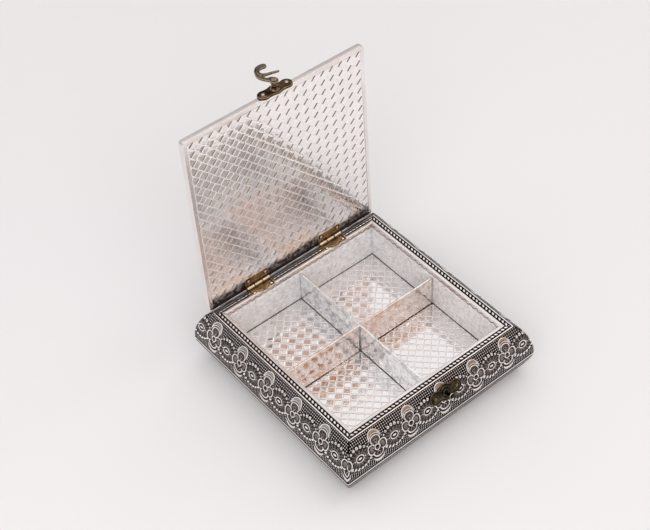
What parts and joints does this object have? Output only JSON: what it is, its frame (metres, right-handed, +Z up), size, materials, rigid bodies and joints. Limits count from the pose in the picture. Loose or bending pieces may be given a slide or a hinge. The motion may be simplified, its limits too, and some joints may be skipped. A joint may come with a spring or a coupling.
{
  "type": "dry fruit box",
  "caption": "Square pillow-sided box in embossed white metal with four foil-lined compartments, a hinged lid and a swinging hook latch.",
  "frame": {"origin": "centre of the base, on the face that rests on the table", "axes": "+Z up; the latch side faces -Y, the lid hinges along +Y; the lid is open at rest"},
  "size_m": [0.1902, 0.2137, 0.2315],
  "materials": {
    "felt": "short-pile velvet paper",
    "wood_board": "raw fibreboard",
    "oxidised_sheet": "embossed and darkened, raised lines rubbed bright",
    "silver_foil": "bright embossed foil",
    "hinge_brass": "antique",
    "nail_brass": "antique",
    "dark_bronze": "dark antique",
    "hook_bronze": "dark antique"
  },
  "bodies": {
    "box": {"base_felt": "felt", "base_board": "wood_board", "wall_front": "wood_board", "wall_rear": "wood_board", "wall_left": "wood_board", "wall_right": "wood_board", "sheet_front": "oxidised_sheet", "sheet_rear": "oxidised_sheet", "sheet_left": "oxidised_sheet", "sheet_right": "oxidised_sheet", "lining_front": "silver_foil", "lining_rear": "silver_foil", "lining_left": "silver_foil", "lining_right": "silver_foil", "lining_floor": "silver_foil", "divider_long": "silver_foil", "divider_cross": "silver_foil", "hinge_leaf_box_left": "hinge_brass", "hinge_leaf_box_right": "hinge_brass", "hinge_pin_left": "hinge_brass", "hinge_pin_right": "hinge_brass", "hinge_nails_box": "nail_brass", "stud_plate": "dark_bronze", "stud": "dark_bronze", "stud_plate_nails": "dark_bronze"},
    "lid": {"lid_board": "wood_board", "lid_lining": "silver_foil", "lid_sheet": "oxidised_sheet", "hinge_leaf_lid_left": "hinge_brass", "hinge_leaf_lid_right": "hinge_brass", "hinge_nails_lid": "nail_brass", "hook_plate": "dark_bronze", "hook_plate_nails": "dark_bronze", "hook_rivet": "dark_bronze"},
    "hook": {"hook": "hook_bronze"}
  },
  "joints": [
    {"name": "lid_hinge", "type": "hinge", "parent": "box", "child": "lid", "pos_m": [0, 0.083, 0.0515], "axis": [1, 0, 0], "range_deg": [0, 91.8]},
    {"name": "hook_swing", "type": "hinge", "parent": "lid", "child": "hook", "pos_m": [0.0015, 0.09309, 0.22927], "axis": [0, -0.0314, -0.9995], "range_deg": [0, 166.5]}
  ]
}
